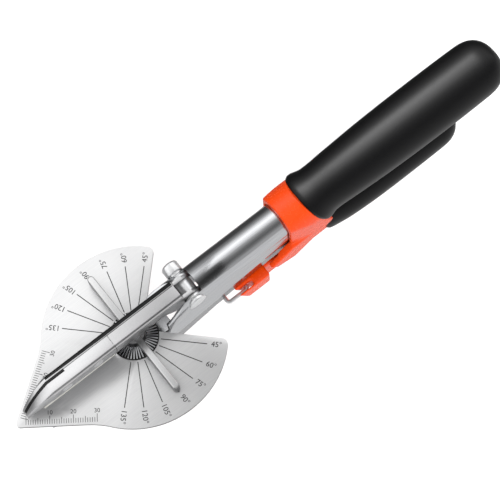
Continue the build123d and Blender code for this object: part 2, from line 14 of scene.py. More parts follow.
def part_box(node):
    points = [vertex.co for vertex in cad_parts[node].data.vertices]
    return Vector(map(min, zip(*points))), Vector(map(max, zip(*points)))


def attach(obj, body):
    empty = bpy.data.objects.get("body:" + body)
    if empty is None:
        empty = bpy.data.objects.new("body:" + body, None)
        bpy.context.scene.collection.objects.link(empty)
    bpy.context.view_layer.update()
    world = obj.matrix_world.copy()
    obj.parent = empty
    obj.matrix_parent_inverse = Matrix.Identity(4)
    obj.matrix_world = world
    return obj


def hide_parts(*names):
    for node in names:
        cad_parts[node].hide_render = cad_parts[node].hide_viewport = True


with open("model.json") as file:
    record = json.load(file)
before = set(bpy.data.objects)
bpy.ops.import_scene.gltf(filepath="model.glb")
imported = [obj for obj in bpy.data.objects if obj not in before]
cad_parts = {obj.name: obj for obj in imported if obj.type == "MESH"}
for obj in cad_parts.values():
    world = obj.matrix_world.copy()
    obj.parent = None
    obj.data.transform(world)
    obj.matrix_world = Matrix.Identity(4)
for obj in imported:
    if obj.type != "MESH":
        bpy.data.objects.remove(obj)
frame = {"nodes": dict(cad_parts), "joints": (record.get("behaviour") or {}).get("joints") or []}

log = logging.getLogger("mitre_shear")
MM = 0.001
# Corners nearer than this, in millimetres, are one corner.
MERGE_GAP = 0.002
# Faces that turn by less than this, in degrees, are one flat face.
FLAT_WITHIN = 0.6


# ---- small shared tools ----

def linear(code: str) -> tuple[float, float, float, float]:
    """Turns an sRGB hex colour to linear light.

    Args:
        code: Six hex digits, with or without a leading hash.

    Returns:
        Red, green, blue and an alpha of one.
    """
    digits = code.lstrip("#")
    parts = [int(digits[i:i + 2], 16) / 255 for i in (0, 2, 4)]
    light = [c / 12.92 if c <= 0.04045 else ((c + 0.055) / 1.055) ** 2.4 for c in parts]
    return (light[0], light[1], light[2], 1.0)


def add(tree: bpy.types.NodeTree, kind: str, values: dict | None = None,
        **settings: object) -> bpy.types.Node:
    """Adds a node to a shader or geometry tree.

    Args:
        tree: The tree that gets the node.
        kind: The node's type.
        values: For each input, by name or place, a value or the socket that feeds it.
        settings: Properties of the node itself.

    Returns:
        The new node.
    """
    node = tree.nodes.new(kind)
    for name, value in settings.items():
        setattr(node, name, value)
    for socket, value in (values or {}).items():
        if isinstance(value, bpy.types.NodeSocket):
            tree.links.new(value, node.inputs[socket])
        else:
            node.inputs[socket].default_value = value
    return node


def new_object(name: str, mesh: bpy.types.Mesh) -> bpy.types.Object:
    """Links a mesh into the scene as an object at the origin.

    Args:
        name: The object's name.
        mesh: Its mesh.

    Returns:
        The object.
    """
    piece = bpy.data.objects.new(name, mesh)
    bpy.context.scene.collection.objects.link(piece)
    return piece


def baked(piece: bpy.types.Object) -> bpy.types.Mesh:
    """Turns an object with modifiers, text or a curve into a plain mesh and removes the object.

    Args:
        piece: The object to evaluate.

    Returns:
        Its finished mesh.
    """
    bpy.context.view_layer.update()
    graph = bpy.context.evaluated_depsgraph_get()
    mesh = bpy.data.meshes.new_from_object(piece.evaluated_get(graph))
    bpy.data.objects.remove(piece)
    return mesh


def smooth(mesh: bpy.types.Mesh, crease: float = 32.0) -> bpy.types.Mesh:
    """Shades a mesh smooth and keeps its sharper edges crisp.

    Args:
        mesh: The mesh to shade.
        crease: Edges sharper than this, in degrees, stay crisp.

    Returns:
        The same mesh.
    """
    mesh.shade_smooth()
    mesh.set_sharp_from_angle(angle=radians(crease))
    return mesh


def merged_copy(node: str) -> bpy.types.Mesh:
    """Copies a CAD node's triangles as a joined mesh with whole flat faces.

    Args:
        node: The CAD node to copy.

    Returns:
        A new mesh; the CAD node's own mesh is left alone.
    """
    mesh = frame["nodes"][node].data.copy()
    work = bmesh.new()
    work.from_mesh(mesh)
    bmesh.ops.remove_doubles(work, verts=work.verts, dist=MERGE_GAP * MM)
    bmesh.ops.dissolve_limit(
        work, angle_limit=radians(FLAT_WITHIN), verts=work.verts, edges=work.edges)
    work.to_mesh(mesh)
    work.free()
    mesh.materials.clear()
    return mesh


def softened(node: str, width: float, segments: int = 3, crease: float = 30.0) -> bpy.types.Mesh:
    """Copies a CAD node and rounds its sharp edges, as deburring or a die would.

    Args:
        node: The CAD node to copy.
        width: The rounding's width in millimetres.
        segments: Faces across the rounding.
        crease: Edges sharper than this, in degrees, are rounded.

    Returns:
        The rounded mesh.
    """
    piece = new_object(node + "_work", merged_copy(node))
    bevel = piece.modifiers.new("round", "BEVEL")
    bevel.width = width * MM
    bevel.segments = segments
    bevel.limit_method = "ANGLE"
    bevel.angle_limit = radians(crease)
    bevel.use_clamp_overlap = True
    bevel.miter_outer = "MITER_ARC"
    return smooth(baked(piece))


def moulded(node: str, voxel: float, rounds: int) -> bpy.types.Mesh:
    """Copies a CAD node and flows its edges together, as an injection-moulded part's are.

    Args:
        node: The CAD node to copy.
        voxel: The size of the new mesh's cells in millimetres.
        rounds: How many times the surface is relaxed.

    Returns:
        The flowing mesh.
    """
    piece = new_object(node + "_work", merged_copy(node))
    cells = piece.modifiers.new("cells", "REMESH")
    cells.mode = "VOXEL"
    cells.voxel_size = voxel * MM
    relax = piece.modifiers.new("relax", "SMOOTH")
    relax.factor = 0.5
    relax.iterations = rounds
    mesh = baked(piece)
    mesh.shade_smooth()
    return mesh


def joined(meshes: Sequence[bpy.types.Mesh]) -> bpy.types.Mesh:
    """Joins several meshes into one and removes them.

    Args:
        meshes: The meshes to join.

    Returns:
        The joined mesh.
    """
    work = bmesh.new()
    for mesh in meshes:
        work.from_mesh(mesh)
        bpy.data.meshes.remove(mesh)
    result = bpy.data.meshes.new("joined")
    work.to_mesh(result)
    work.free()
    return result


def surface_of(node: str) -> BVHTree:
    """Builds a search tree over a CAD node's triangles.

    Args:
        node: The CAD node.

    Returns:
        The tree, for finding where a line meets the node.
    """
    mesh = frame["nodes"][node].data
    places = [vertex.co.copy() for vertex in mesh.vertices]
    return BVHTree.FromPolygons(places, [tuple(face.vertices) for face in mesh.polygons])


def height_over(surface: BVHTree, x: float, y: float) -> float:
    """Finds the height of a surface's top at a place.

    Args:
        surface: The surface to look down on.
        x: Where, in millimetres.
        y: Where, in millimetres.

    Returns:
        The height in millimetres.
    """
    hit = surface.ray_cast(Vector((x * MM, y * MM, 1.0)), Vector((0, 0, -1)))
    return hit[0].z / MM


# ---- finishes ----

class Pattern(Enum):
    """How a surface's pattern is squeezed along X, Y and Z: the less, the longer its streaks."""

    DRAWN = (0.04, 1.0, 1.0)
    BRUSHED = (0.03, 1.0, 1.0)
    EVEN = (1.0, 1.0, 1.0)


@dataclass(frozen=True)
class Finish:
    """A real material and its surface, as one shader.

    The base colour wanders between two sRGB shades, and the same pattern moves the roughness
    and the bump, so that the surface reads as made and not as painted. The grain and the relief
    are in millimetres.
    """

    name: str
    light: str
    dark: str
    metallic: float
    roughness: float
    spread: float
    pattern: Pattern
    grain: float
    relief: float = 0.0
    ior: float = 1.5
    shine: float = 0.5
    # The colour of painted shade on the upright faces; none when empty.
    side_shade: str = ""

    def material(self) -> bpy.types.Material:
        """Makes the material once and finds it again after that.

        Returns:
            The finished material.
        """
        found = bpy.data.materials.get(self.name)
        if found:
            return found
        made = bpy.data.materials.new(self.name)
        made.use_nodes = True
        tree = made.node_tree
        shader = tree.nodes["Principled BSDF"]
        shader.inputs["Metallic"].default_value = self.metallic
        shader.inputs["Specular IOR Level"].default_value = self.shine
        if self.metallic < 0.5:
            shader.inputs["IOR"].default_value = self.ior
        place = add(tree, "ShaderNodeTexCoord")
        stretch = add(tree, "ShaderNodeMapping", {
            "Vector": place.outputs["Object"], "Scale": self.pattern.value})
        noise = add(tree, "ShaderNodeTexNoise", {
            "Vector": stretch.outputs["Vector"], "Scale": 1 / (self.grain * MM),
            "Detail": 4.0, "Roughness": 0.6})
        shades = add(tree, "ShaderNodeValToRGB", {"Fac": noise.outputs["Fac"]})
        shades.color_ramp.elements[0].position = 0.35
        shades.color_ramp.elements[0].color = linear(self.dark)
        shades.color_ramp.elements[1].position = 0.65
        shades.color_ramp.elements[1].color = linear(self.light)
        rough = add(tree, "ShaderNodeMapRange", {
            "Value": noise.outputs["Fac"], "From Min": 0.3, "From Max": 0.7,
            "To Min": self.roughness - self.spread, "To Max": self.roughness + self.spread})
        colour = shades.outputs["Color"]
        # Paints shade on the upright faces.
        if self.side_shade:
            colour = self.painted_side_shade(tree, colour)
        tree.links.new(colour, shader.inputs["Base Color"])
        tree.links.new(rough.outputs["Result"], shader.inputs["Roughness"])
        if self.relief:
            bump = add(tree, "ShaderNodeBump", {
                "Height": noise.outputs["Fac"], "Strength": 0.35, "Distance": self.relief * MM})
            tree.links.new(bump.outputs["Normal"], shader.inputs["Normal"])
        return made

    def painted_side_shade(self, tree: bpy.types.NodeTree,
                      colour: bpy.types.NodeSocket) -> bpy.types.NodeSocket:
        """Paints shade on the upright faces, darker the more upright a face is.

        Args:
            tree: The material's tree.
            colour: The colour of the polished faces.

        Returns:
            The colour with painted shade on its upright faces.
        """
        facing = add(tree, "ShaderNodeNewGeometry")
        parts = add(tree, "ShaderNodeSeparateXYZ", {0: facing.outputs["Normal"]})
        flat = add(tree, "ShaderNodeMath", {0: parts.outputs["Z"]}, operation="ABSOLUTE")
        share = add(tree, "ShaderNodeMapRange", {
            "Value": flat.outputs[0], "From Min": 0.35, "From Max": 0.85})
        mixed = add(tree, "ShaderNodeMix", {
            "Factor": share.outputs["Result"], 6: linear(self.side_shade), 7: colour}, data_type="RGBA")
        return mixed.outputs[2]


# Sheet steel, nickel plated and polished: a mirror, a little drawn out along the arm.
PLATED_TUBE = Finish("nickel plated steel", "#C9CACC", "#C0C1C4", 1.0, 0.17, 0.02, Pattern.DRAWN, 0.5)
# Stainless sheet, finely brushed: a soft sheen that scatters much of its light, with painted shade
# on its upright edges. The streaks are drawn coarser than the real ones, so that they show.
BRUSHED_STAINLESS = Finish("brushed stainless sheet", "#D4D4D4", "#CCCCCD", 0.6, 0.30, 0.02,
                           Pattern.BRUSHED, 0.35, 0.003, side_shade="#2E2E2F")
# Folded steel, bead blasted and nickel plated: an even light grey.
SATIN_STEEL = Finish("satin nickel steel", "#D6D6D7", "#CECECF", 1.0, 0.36, 0.03,
                     Pattern.EVEN, 0.5, 0.006)
# Drawn bar, satin plated, with painted shade darkening its upright sides.
FENCE_STEEL = Finish("satin plated bar", "#D8D8D8", "#CCCCCD", 1.0, 0.33, 0.03,
                     Pattern.EVEN, 0.5, 0.004, side_shade="#7C7C7E")
# Hardened carbon steel, ground: darker, with fine grinding lines.
GROUND_BLADE = Finish("ground carbon steel", "#A9AAAE", "#8E9094", 1.0, 0.24, 0.06,
                      Pattern.BRUSHED, 0.25, 0.01)
# Carbon steel with black oxide: near black, half dull. It also colours a painted dark reflection
# along the jaw's left bend and painted shade in the nose slot.
BLACK_OXIDE_AND_SHADE = Finish("black oxide steel and painted shade", "#101010", "#080809", 0.0, 0.42, 0.05,
                     Pattern.BRUSHED, 0.4, ior=1.4)
# Zinc plate on turned fasteners: pale and slightly cloudy.
ZINC = Finish("zinc plated steel", "#F0F0F1", "#E4E5E6", 0.85, 0.36, 0.04, Pattern.EVEN, 1.2)
# Music wire, drawn: dark grey and smooth.
SPRING_WIRE = Finish("drawn spring wire", "#8B8C90", "#77787C", 1.0, 0.3, 0.05, Pattern.EVEN, 0.8)
# Aluminium, die cast: dull and a little mottled.
CAST_ALUMINIUM = Finish("die cast aluminium", "#B9BABC", "#A6A7A9", 1.0, 0.5, 0.08,
                        Pattern.EVEN, 0.6, 0.02)
# Nylon, moulded: milky white.
NYLON = Finish("moulded nylon", "#ECEBE4", "#E0DFD6", 0.0, 0.45, 0.05, Pattern.EVEN, 0.8, 0.01, 1.53)
# ABS, injection moulded and half glossy: strong orange with soft highlights.
ORANGE_ABS = Finish("glossy orange ABS", "#E94606", "#E54204", 0.0, 0.27, 0.01, Pattern.EVEN, 1.5, 0.0, 1.5,
                    shine=0.35)
# Thermoplastic rubber, spark-eroded mould: near black with a fine satin grain.
BLACK_RUBBER = Finish("satin thermoplastic rubber", "#0D0D0E", "#080809", 0.0, 0.38, 0.03,
                      Pattern.EVEN, 0.45, 0.02, 1.5, shine=0.22)
# Etched and filled marks: flat dark grey.
ETCHED_INK = Finish("etched dark fill", "#2C2C2D", "#222223", 0.0, 0.7, 0.05,
                    Pattern.EVEN, 0.5, ior=1.35)


def dress(name: str, mesh: bpy.types.Mesh, body: str, slot: str, finish: Finish,
          *replaced: str) -> bpy.types.Object:
    """Puts a finished mesh in the scene as a piece of the tool.

    Args:
        name: The piece's name.
        mesh: Its mesh, already in place.
        body: The CAD body that it moves with.
        slot: The record's material slot; not used.
        finish: What it is made of.
        replaced: The CAD nodes that it stands for.

    Returns:
        The piece.
    """
    mesh.name = name
    mesh.materials.clear()
    mesh.materials.append(finish.material())
    piece = new_object(name, mesh)
    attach(piece, body)
    if replaced:
        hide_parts(*replaced)
    log.info("%s: %d faces on %s, %s", name, len(mesh.polygons), body, finish.name)
    return piece


def repaint(node: str, finish: Finish) -> None:
    """Gives a CAD node that stays in view its finish.

    Args:
        node: The CAD node.
        finish: What it is made of.
    """
    materials = frame["nodes"][node].data.materials
    materials.clear()
    materials.append(finish.material())
    log.info("%s: carried over, %s", node, finish.name)


# ---- geometry node trees ----

def tree_with(name: str, sizes: dict[str, float]) -> bpy.types.NodeTree:
    """Starts a geometry tree with one named number for each size.

    Args:
        name: The tree's name.
        sizes: Names and default values of its inputs.

    Returns:
        The tree, with its input and output nodes.
    """
    tree = bpy.data.node_groups.new(name, "GeometryNodeTree")
    for label, value in sizes.items():
        socket = tree.interface.new_socket(label, in_out="INPUT", socket_type="NodeSocketFloat")
        socket.default_value = value
    tree.interface.new_socket("Geometry", in_out="OUTPUT", socket_type="NodeSocketGeometry")
    tree.nodes.new("NodeGroupInput")
    tree.nodes.new("NodeGroupOutput")
    return tree


def grown(tree: bpy.types.NodeTree, sizes: dict[str, float], geometry: bpy.types.NodeSocket,
          finish: Finish) -> bpy.types.Mesh:
    """Ends a geometry tree, runs it on an empty mesh and returns what it makes.

    Args:
        tree: The tree, whose inputs are named sizes.
        sizes: The values to run it with.
        geometry: The socket with the instances.
        finish: The material that the tree sets.

    Returns:
        A plain mesh.
    """
    real = add(tree, "GeometryNodeRealizeInstances", {"Geometry": geometry})
    painted = add(tree, "GeometryNodeSetMaterial", {
        "Geometry": real.outputs["Geometry"], "Material": finish.material()})
    tree.links.new(painted.outputs["Geometry"], tree.nodes["Group Output"].inputs["Geometry"])
    carrier = new_object(tree.name, bpy.data.meshes.new(tree.name))
    modifier = carrier.modifiers.new(tree.name, "NODES")
    modifier.node_group = tree
    for item in tree.interface.items_tree:
        if item.in_out == "INPUT":
            modifier[item.identifier] = float(sizes[item.name])
    return baked(carrier)


def radial_bars(name: str, sizes: dict[str, float], finish: Finish) -> bpy.types.Mesh:
    """Bars that point away from a centre, evenly spaced round part of a circle.

    Args:
        name: The tree's name.
        sizes: Count, First and Step in radians, Inner, Outer, Width, Low and High in metres.
        finish: The material.

    Returns:
        All the bars as one mesh.
    """
    tree = tree_with(name, sizes)
    given = tree.nodes["Group Input"].outputs
    length = add(tree, "ShaderNodeMath", {0: given["Outer"], 1: given["Inner"]}, operation="SUBTRACT")
    height = add(tree, "ShaderNodeMath", {0: given["High"], 1: given["Low"]}, operation="SUBTRACT")
    size = add(tree, "ShaderNodeCombineXYZ", {
        "X": length.outputs[0], "Y": given["Width"], "Z": height.outputs[0]})
    bar = add(tree, "GeometryNodeMeshCube", {"Size": size.outputs[0]})
    reach = add(tree, "ShaderNodeMath", {0: given["Outer"], 1: given["Inner"]}, operation="ADD")
    middle_x = add(tree, "ShaderNodeMath", {0: reach.outputs[0], 1: 0.5}, operation="MULTIPLY")
    levels = add(tree, "ShaderNodeMath", {0: given["High"], 1: given["Low"]}, operation="ADD")
    middle_z = add(tree, "ShaderNodeMath", {0: levels.outputs[0], 1: 0.5}, operation="MULTIPLY")
    shift = add(tree, "ShaderNodeCombineXYZ", {"X": middle_x.outputs[0], "Z": middle_z.outputs[0]})
    outward = add(tree, "GeometryNodeTransform", {
        "Geometry": bar.outputs["Mesh"], "Translation": shift.outputs[0]})
    index = add(tree, "GeometryNodeInputIndex")
    turn = add(tree, "ShaderNodeMath", {
        0: index.outputs[0], 1: given["Step"], 2: given["First"]}, operation="MULTIPLY_ADD")
    angle = add(tree, "ShaderNodeCombineXYZ", {"Z": turn.outputs[0]})
    points = add(tree, "GeometryNodePoints", {"Count": given["Count"]})
    spread = add(tree, "GeometryNodeInstanceOnPoints", {
        "Points": points.outputs[0], "Instance": outward.outputs["Geometry"],
        "Rotation": angle.outputs[0]})
    return grown(tree, sizes, spread.outputs["Instances"], finish)


# Each fifth tick is longer by the first share, and each tenth by both.
LONGER_TICKS = ((5.0, 0.35), (10.0, 0.4))


def ruler_ticks(name: str, sizes: dict[str, float], finish: Finish) -> bpy.types.Mesh:
    """A ruler's ticks along +X, longer at the fives and longest at the tens.

    Args:
        name: The tree's name.
        sizes: Count, Pitch, Short, Width and Thick, in metres apart from the count.
        finish: The material.

    Returns:
        All the ticks as one mesh, which start at y = 0 and rise along +Y.
    """
    tree = tree_with(name, sizes)
    given = tree.nodes["Group Input"].outputs
    size = add(tree, "ShaderNodeCombineXYZ", {
        "X": given["Width"], "Y": given["Short"], "Z": given["Thick"]})
    tick = add(tree, "GeometryNodeMeshCube", {"Size": size.outputs[0]})
    half = add(tree, "ShaderNodeMath", {0: given["Short"], 1: 0.5}, operation="MULTIPLY")
    lift = add(tree, "ShaderNodeCombineXYZ", {"Y": half.outputs[0]})
    raised = add(tree, "GeometryNodeTransform", {
        "Geometry": tick.outputs["Mesh"], "Translation": lift.outputs[0]})
    step = add(tree, "ShaderNodeCombineXYZ", {"X": given["Pitch"]})
    points = add(tree, "GeometryNodeMeshLine", {"Count": given["Count"], "Offset": step.outputs[0]})
    index = add(tree, "GeometryNodeInputIndex")
    growth = None
    for every, gain in LONGER_TICKS:
        rest = add(tree, "ShaderNodeMath", {0: index.outputs[0], 1: every}, operation="MODULO")
        hit = add(tree, "ShaderNodeMath", {0: rest.outputs[0], 1: 0.5}, operation="LESS_THAN")
        base = 1.0 if growth is None else growth.outputs[0]
        growth = add(tree, "ShaderNodeMath", {0: hit.outputs[0], 1: gain, 2: base},
                     operation="MULTIPLY_ADD")
    scale = add(tree, "ShaderNodeCombineXYZ", {"X": 1.0, "Y": growth.outputs[0], "Z": 1.0})
    spread = add(tree, "GeometryNodeInstanceOnPoints", {
        "Points": points.outputs["Mesh"], "Instance": raised.outputs["Geometry"],
        "Scale": scale.outputs[0]})
    return grown(tree, sizes, spread.outputs["Instances"], finish)


def numeral(text: str, height: float, thick: float) -> bpy.types.Mesh:
    """A short number as flat mesh letters, centred on the origin and read along +X.

    Args:
        text: The figures.
        height: The figures' height in metres.
        thick: How far they stand up in metres.

    Returns:
        The mesh.
    """
    curve = bpy.data.curves.new("numeral_" + text, "FONT")
    curve.body = text
    curve.size = height
    curve.align_x = "CENTER"
    curve.align_y = "CENTER"
    curve.extrude = thick / 2
    curve.resolution_u = 3
    letters = bpy.data.objects.new(curve.name, curve)
    bpy.context.scene.collection.objects.link(letters)
    return baked(letters)


# ---- sub-assemblies ----

@dataclass
class Protractor:
    """The steel plate, its etched marks, the anvil, and the ring that the fence clicks on.

    Sizes are in millimetres and angles in degrees. Shares of the ring are of its radius or height.
    """

    edge_round: float = 0.3
    anvil_round: float = 0.2
    mark_inner: float = 11.4
    mark_outer: float = 31.2
    mark_width: float = 0.36
    figure_reach: float = 35.2
    figure_height: float = 3.3
    first_angle: int = 45
    last_angle: int = 135
    angle_step: int = 15
    tick_count: int = 31
    tick_pitch: float = 1.0
    tick_length: float = 2.0
    tick_width: float = 0.22
    ruler_tens: tuple[int, ...] = (10, 20, 30)
    ruler_figure_height: float = 2.6
    ruler_figure_gap: float = 4.8
    ruler_tip_gap: float = 4.6
    corner_gap: float = 0.9
    ruler_edge_gap: float = 0.9
    ruler_slope: float = 36.0
    ring_sides: int = 96
    ring_bore: float = 0.48
    ring_profile: tuple[tuple[float, float], ...] = (
        (0.48, 0.0), (1.0, 0.0), (1.0, 0.3), (0.93, 0.42), (0.48, 0.72))
    rib_count: int = 48
    rib_width: float = 0.5
    rib_height: float = 0.55
    rib_inner_gap: float = 0.2
    rib_outer_gap: float = 0.35
    rib_rise: float = 0.66
    rib_fall: float = 0.4
    ink: float = 0.05

    def __post_init__(self) -> None:
        """Reads how high the plate is and where its tip is."""
        self.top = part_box("protractor_plate")[1].z
        self.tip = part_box("protractor_plate")[0].x

    def build(self) -> None:
        """Builds and dresses every piece of the protractor."""
        dress("protractor_sheet", softened("protractor_plate", self.edge_round), "frame",
              "brushed_stainless", BRUSHED_STAINLESS, "protractor_plate")
        self.degree_marks()
        self.rulers()
        self.click_ring()
        dress("anvil_nylon", softened("anvil_strip", self.anvil_round), "frame", "white_nylon", NYLON,
              "anvil_strip")
        repaint("plate_screws", BRUSHED_STAINLESS)

    def degree_marks(self) -> None:
        """Etches the lines and figures of the two fans."""
        count = (self.last_angle - self.first_angle) // self.angle_step + 1
        meshes = []
        for side in (1, -1):
            sizes = {
                "Count": count, "First": side * radians(self.first_angle),
                "Step": side * radians(self.angle_step), "Inner": self.mark_inner * MM,
                "Outer": self.mark_outer * MM, "Width": self.mark_width * MM,
                "Low": self.top - self.ink * MM, "High": self.top + self.ink * MM}
            meshes.append(radial_bars(f"degree_lines_{side}", sizes, ETCHED_INK))
            for angle in range(self.first_angle, self.last_angle + 1, self.angle_step):
                figure = numeral(f"{angle}°", self.figure_height * MM, 2 * self.ink * MM)
                turn = Matrix.Rotation(side * radians(angle), 4, "Z")
                reach = Matrix.Translation((self.figure_reach * MM, 0, self.top))
                figure.transform(turn @ reach)
                meshes.append(figure)
        dress("degree_marks", joined(meshes), "frame", "brushed_stainless", ETCHED_INK)

    def rulers(self) -> None:
        """Etches a millimetre ruler along each straight front edge."""
        meshes = []
        for side in (1, -1):
            sizes = {"Count": self.tick_count, "Pitch": self.tick_pitch * MM,
                     "Short": self.tick_length * MM, "Width": self.tick_width * MM,
                     "Thick": 2 * self.ink * MM}
            parts = [ruler_ticks(f"ruler_ticks_{side}", sizes, ETCHED_INK)]
            if side > 0:
                parts[0].transform(Matrix.Diagonal((1, -1, 1, 1)))
                parts[0].flip_normals()
            for ten in self.ruler_tens:
                figure = numeral(str(ten), self.ruler_figure_height * MM, 2 * self.ink * MM)
                figure.transform(Matrix.Translation((ten * MM, -side * self.ruler_figure_gap * MM, 0)))
                parts.append(figure)
            ruler = joined(parts)
            along = Matrix.Rotation(side * radians(self.ruler_slope), 4, "Z")
            start = Matrix.Translation((self.ruler_tip_gap * MM, -side * self.ruler_edge_gap * MM, 0))
            corner = Matrix.Translation((self.tip - self.corner_gap * MM, 0, self.top))
            ruler.transform(corner @ along @ start)
            meshes.append(ruler)
        dress("rulers", joined(meshes), "frame", "brushed_stainless", ETCHED_INK)

    def click_ring(self) -> None:
        """Builds the low ribbed cone round the fence's hub."""
        low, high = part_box("index_ring")
        outer = high.x
        inner = self.ring_bore * outer
        base = low.z
        rise = high.z - low.z
        angles = [tau * i / self.ring_sides for i in range(self.ring_sides)]
        rings = []
        for out, up in self.ring_profile:
            radius = out * outer
            rings.append([Vector((radius * cos(a), radius * sin(a), base + up * rise)) for a in angles])
        dress("click_ring", ring_skin(rings, closed_loop=True), "frame", "bright_steel", BLACK_OXIDE_AND_SHADE,
              "index_ring")
        sizes = {"Count": self.rib_count, "First": 0.0, "Step": tau / self.rib_count,
                 "Inner": inner + self.rib_inner_gap * MM, "Outer": outer - self.rib_outer_gap * MM,
                 "Width": self.rib_width * MM, "Low": 0.0, "High": self.rib_height * MM}
        ribs = radial_bars("click_ribs", sizes, PLATED_TUBE)
        for vertex in ribs.vertices:
            share = (vertex.co.xy.length - inner) / (outer - inner)
            vertex.co.z += base + rise * (self.rib_rise - self.rib_fall * share)
            vertex.co.z = min(vertex.co.z, high.z)
        dress("click_ring_ribs", ribs, "frame", "bright_steel", PLATED_TUBE)


def ring_skin(rings: Sequence[Sequence[Vector]], closed_loop: bool = False) -> bpy.types.Mesh:
    """Skins equal rings of points, in order, with quads.

    Args:
        rings: Each ring's points, all turning the same way.
        closed_loop: Whether the last ring joins the first; otherwise both ends are capped.

    Returns:
        A closed mesh whose faces point outwards.
    """
    work = bmesh.new()
    made = [[work.verts.new(point) for point in ring] for ring in rings]
    pairs = list(zip(made, made[1:]))
    if closed_loop:
        pairs.append((made[-1], made[0]))
    for first, second in pairs:
        count = len(first)
        for i in range(count):
            j = (i + 1) % count
            work.faces.new((first[i], first[j], second[j], second[i]))
    if not closed_loop:
        work.faces.new(made[0])
        work.faces.new(made[-1])
    bmesh.ops.recalc_face_normals(work, faces=work.faces)
    mesh = bpy.data.meshes.new("skin")
    work.to_mesh(mesh)
    work.free()
    return smooth(mesh)


def blended(stations: Sequence[tuple[float, ...]], place: float) -> list[float]:
    """Reads a smooth curve through stations.

    Args:
        stations: Rows of a place followed by values, in order of place.
        place: Where to read.

    Returns:
        The values there.
    """
    last = len(stations) - 1
    if place <= stations[0][0]:
        return list(stations[0][1:])
    if place >= stations[last][0]:
        return list(stations[last][1:])
    i = max(k for k in range(last) if stations[k][0] <= place)
    before, after = stations[max(i - 1, 0)], stations[min(i + 2, last)]
    here, there = stations[i], stations[i + 1]
    span = there[0] - here[0]
    t = (place - here[0]) / span
    result = []
    for k in range(1, len(here)):
        slope_a = (there[k] - before[k]) / (there[0] - before[0]) * span
        slope_b = (after[k] - here[k]) / (after[0] - here[0]) * span
        value = ((2 * t**3 - 3 * t**2 + 1) * here[k] + (t**3 - 2 * t**2 + t) * slope_a
                 + (3 * t**2 - 2 * t**3) * there[k] + (t**3 - t**2) * slope_b)
        result.append(value)
    return result


@dataclass
class Grip:
    """A soft black sleeve with a raked front lip, a slight waist and a rounded end.

    Stations are place along the grip in millimetres from its front, half width, half height
    and centre height from the grip's own middle. The lip's rows are a step back in millimetres
    and a share of the first station. A crowding above one draws the rings together at the end.
    """

    node: str
    body: str
    stations: tuple[tuple[float, float, float, float], ...]
    middle: float
    rake: float = 0.0
    rake_share: float = 0.35
    end_length: float = 16.0
    squareness: float = 2.3
    end_squareness: float = 2.4
    end_least: float = 0.02
    lip: tuple[tuple[float, float], ...] = ((0.0, 0.80), (0.0, 0.93), (0.35, 0.985))
    lip_length: float = 1.2
    crowding: float = 1.35
    rings: int = 90
    points: int = 80

    def outline(self, width: float, height: float, x: float, z: float) -> list[Vector]:
        """Draws one superelliptic ring square across the grip.

        Args:
            width: Half its width in millimetres.
            height: Half its height in millimetres.
            x: Its place along the tool in millimetres.
            z: Its middle's height in millimetres.

        Returns:
            Its points in metres.
        """
        ring = []
        for i in range(self.points):
            angle = tau * i / self.points
            y = copysign(abs(cos(angle)) ** (2 / self.squareness), cos(angle)) * width
            up = copysign(abs(sin(angle)) ** (2 / self.squareness), sin(angle)) * height
            ring.append(Vector((x, y, z + up)) * MM)
        return ring

    def build(self) -> bpy.types.Object:
        """Builds and dresses the grip.

        Returns:
            The finished sleeve.
        """
        low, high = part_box(self.node)
        front = low.x / MM
        end = high.x / MM
        length = end - front
        rings = []
        width, height, z = blended(self.stations, 0.0)
        for step, share in self.lip:
            ring = self.outline(width * share, height * share, front + step, self.middle + z)
            rings.append(self.raked(ring, front, length))
        for i in range(self.rings):
            share = i / (self.rings - 1)
            along = self.lip_length + (length - self.lip_length) * (1 - (1 - share) ** self.crowding)
            width, height, z = blended(self.stations, along)
            into_end = (along - (length - self.end_length)) / self.end_length
            close = 1.0
            if into_end > 0:
                close = max(1 - into_end ** self.end_squareness, 0.0) ** (1 / self.end_squareness)
            close = max(close, self.end_least)
            ring = self.outline(width * close, height * close, front + along, self.middle + z)
            rings.append(self.raked(ring, front, length))
        mesh = ring_skin(rings)
        mesh.shade_smooth()
        return dress(self.node + "_sleeve", mesh, self.body, "black_grip", BLACK_RUBBER, self.node)

    def raked(self, ring: list[Vector], front: float, length: float) -> list[Vector]:
        """Leans a ring back, most at the front and less and less along the grip.

        Args:
            ring: The ring's points in metres.
            front: The grip's front in millimetres.
            length: The grip's length in millimetres.

        Returns:
            The moved points.
        """
        moved = []
        top = max(point.z for point in ring)
        for point in ring:
            fade = max(0.0, 1 - (point.x / MM - front) / (length * self.rake_share))
            moved.append(point + Vector((self.rake * (top - point.z) * fade, 0, 0)))
        return moved


UPPER_GRIP = Grip(
    "upper_grip", "frame", (
        (0.0, 12.3, 10.9, 0.2), (2.0, 12.7, 11.4, 0.2), (8.0, 11.5, 11.1, 0.0),
        (22.0, 12.0, 11.3, 0.0), (45.0, 12.9, 11.7, 0.0), (70.0, 13.3, 11.8, 0.0),
        (95.0, 13.2, 11.6, 0.2), (112.0, 12.6, 11.0, 0.4)),
    middle=30.0, rake=0.5, end_length=13.0, end_squareness=2.5)
LOWER_GRIP = Grip(
    "lower_grip", "lever", (
        (0.0, 9.4, 7.9, 0.0), (2.0, 10.0, 8.5, 0.0), (12.0, 11.4, 9.1, 0.0),
        (30.0, 12.2, 9.4, 0.0), (60.0, 12.1, 9.3, 0.0), (78.0, 11.6, 9.0, 0.0)),
    middle=2.0, end_length=12.0)


def inlay(places: Sequence[tuple[float, float, float]], half: float, depth: float,
          proud: float) -> bpy.types.Mesh:
    """Makes a flat strip let into a surface.

    Args:
        places: The middle of the surface under the strip, from end to end, in millimetres.
        half: Half the strip's width in millimetres.
        depth: How far it reaches into the surface.
        proud: How far it stands out.

    Returns:
        The strip.
    """
    rings = []
    for x, y, z in places:
        section = ((y - half, z - depth), (y + half, z - depth),
                   (y + half, z + proud), (y - half, z + proud))
        rings.append([Vector((x, across, up)) * MM for across, up in section])
    return ring_skin(rings)


